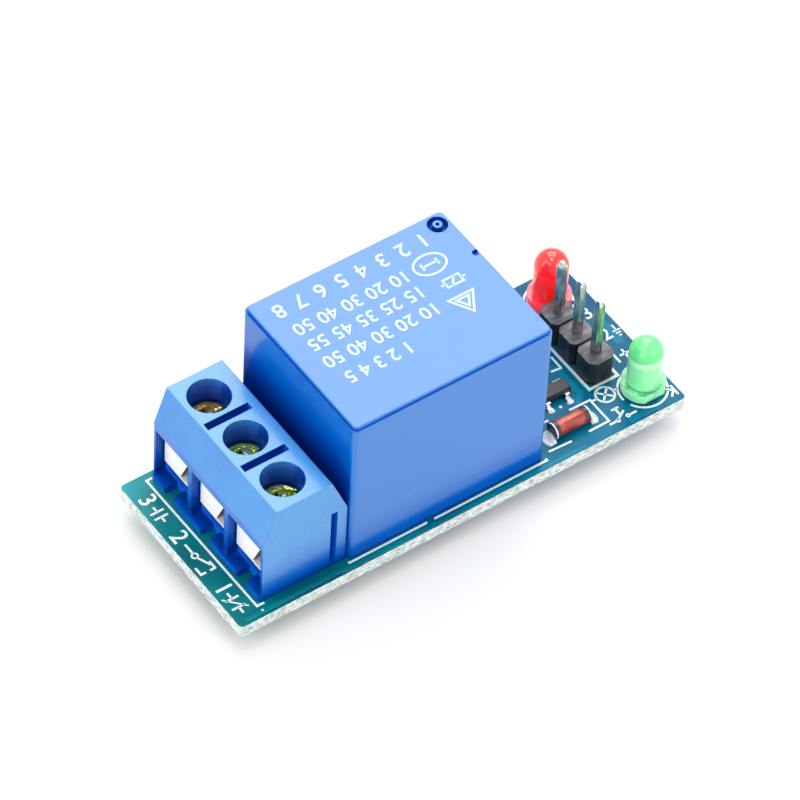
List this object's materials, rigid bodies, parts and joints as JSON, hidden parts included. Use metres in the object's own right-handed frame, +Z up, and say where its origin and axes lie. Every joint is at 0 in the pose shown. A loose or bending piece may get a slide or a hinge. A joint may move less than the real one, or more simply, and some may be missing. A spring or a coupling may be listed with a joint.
{
  "type": "relay module board",
  "caption": "Small circuit board with a blue cube relay, a screw terminal block, a pin header, red and green status lamps and a diode.",
  "frame": {"origin": "under the centre of the board, level with the lowest lead tips that it stands on", "axes": "+X along the board from the screw terminals to the pin header, +Y across the board, +Z up out of the component side"},
  "size_m": [0.0434, 0.0172, 0.0188],
  "materials": {
    "laminate": "glass-fibre laminate under a satin teal solder mask",
    "solder": "bright solder",
    "terminal_plastic": "satin moulded nylon",
    "relay_plastic": "fine satin moulded plastic",
    "relay_base_plastic": "matt moulded plastic",
    "soft_iron": "plated soft iron",
    "bobbin_plastic": "moulded plastic",
    "enamelled_copper": "enamelled copper wire",
    "tinned_lead": "tin-plated copper alloy",
    "spring_copper": "rolled copper alloy",
    "contact_silver": "silver alloy",
    "black_plastic": "matt moulded plastic",
    "red_resin": "diffused red epoxy",
    "green_resin": "diffused green epoxy",
    "diode_glass": "clear glass",
    "silicon": "polished silicon",
    "diode_metal": "copper-coated alloy, tinned at the end",
    "tinned_brass": "tin-plated brass strip",
    "spring_steel": "bright stainless leaf",
    "zinc_screw": "yellow iridescent zinc plate",
    "header_metal": "tin-plated brass pin",
    "resistor_ceramic": "black coat on white ceramic"
  },
  "bodies": {
    "board": {"circuit_board": "laminate", "diode_anode": "diode_metal", "diode_cathode": "diode_metal", "diode_chip": "silicon", "diode_glass": "diode_glass", "green_lamp_anode": "tinned_lead", "green_lamp_cathode": "tinned_lead", "green_lamp_lens": "green_resin", "header_housing": "black_plastic", "header_pin_1": "header_metal", "header_pin_2": "header_metal", "header_pin_3": "header_metal", "red_lamp_anode": "tinned_lead", "red_lamp_cathode": "tinned_lead", "red_lamp_lens": "red_resin", "relay_base": "relay_base_plastic", "relay_bobbin": "bobbin_plastic", "relay_closed_contact": "tinned_lead", "relay_coil": "enamelled_copper", "relay_coil_pin_1": "tinned_lead", "relay_coil_pin_2": "tinned_lead", "relay_common_pin": "tinned_lead", "relay_core": "soft_iron", "relay_cover": "relay_plastic", "relay_open_contact": "tinned_lead", "relay_yoke": "soft_iron", "resistor_1_body": "resistor_ceramic", "resistor_1_caps": "tinned_lead", "resistor_2_body": "resistor_ceramic", "resistor_2_caps": "tinned_lead", "resistor_3_body": "resistor_ceramic", "resistor_3_caps": "tinned_lead", "solder_joints": "solder", "surface_solder": "solder", "terminal_contact_1": "tinned_brass", "terminal_contact_2": "tinned_brass", "terminal_contact_3": "tinned_brass", "terminal_housing": "terminal_plastic", "transistor_body": "black_plastic", "transistor_leads": "tinned_lead"},
    "armature": {"relay_armature": "soft_iron", "relay_contact_strip": "spring_copper", "relay_moving_contact": "contact_silver"},
    "clamp_1": {"wire_guard_1": "spring_steel"},
    "screw_1": {"terminal_screw_1": "zinc_screw"},
    "clamp_2": {"wire_guard_2": "spring_steel"},
    "screw_2": {"terminal_screw_2": "zinc_screw"},
    "clamp_3": {"wire_guard_3": "spring_steel"},
    "screw_3": {"terminal_screw_3": "zinc_screw"}
  },
  "joints": [
    {"name": "clamp_lift_1", "type": "slide", "parent": "board", "child": "clamp_1", "axis": [0, 0, 1], "range_m": [0, 0.0022]},
    {"name": "screw_turn_1", "type": "hinge", "parent": "clamp_1", "child": "screw_1", "pos_m": [-0.01542, 0.00543, 0.0106], "axis": [0, 0, 1], "range_deg": [0, 1585]},
    {"name": "clamp_lift_2", "type": "slide", "parent": "board", "child": "clamp_2", "axis": [0, 0, 1], "range_m": [0, 0.0022]},
    {"name": "screw_turn_2", "type": "hinge", "parent": "clamp_2", "child": "screw_2", "pos_m": [-0.01542, 0.00035, 0.0106], "axis": [0, 0, 1], "range_deg": [0, 1585]},
    {"name": "clamp_lift_3", "type": "slide", "parent": "board", "child": "clamp_3", "axis": [0, 0, 1], "range_m": [0, 0.0022]},
    {"name": "screw_turn_3", "type": "hinge", "parent": "clamp_3", "child": "screw_3", "pos_m": [-0.01542, -0.00473, 0.0106], "axis": [0, 0, 1], "range_deg": [0, 1585]},
    {"name": "armature_pull", "type": "hinge", "parent": "board", "child": "armature", "pos_m": [0.00652, 0.00006, 0.01403], "axis": [0, -1, 0], "range_deg": [0, 4.3], "stiffness_Nm_per_rad": 0.01, "springref_deg": -11.46}
  ],
  "couplings": [
    {"joint": "screw_turn_1", "follows": "clamp_lift_1", "rad_per_m": 12566},
    {"joint": "screw_turn_2", "follows": "clamp_lift_2", "rad_per_m": 12566},
    {"joint": "screw_turn_3", "follows": "clamp_lift_3", "rad_per_m": 12566}
  ]
}
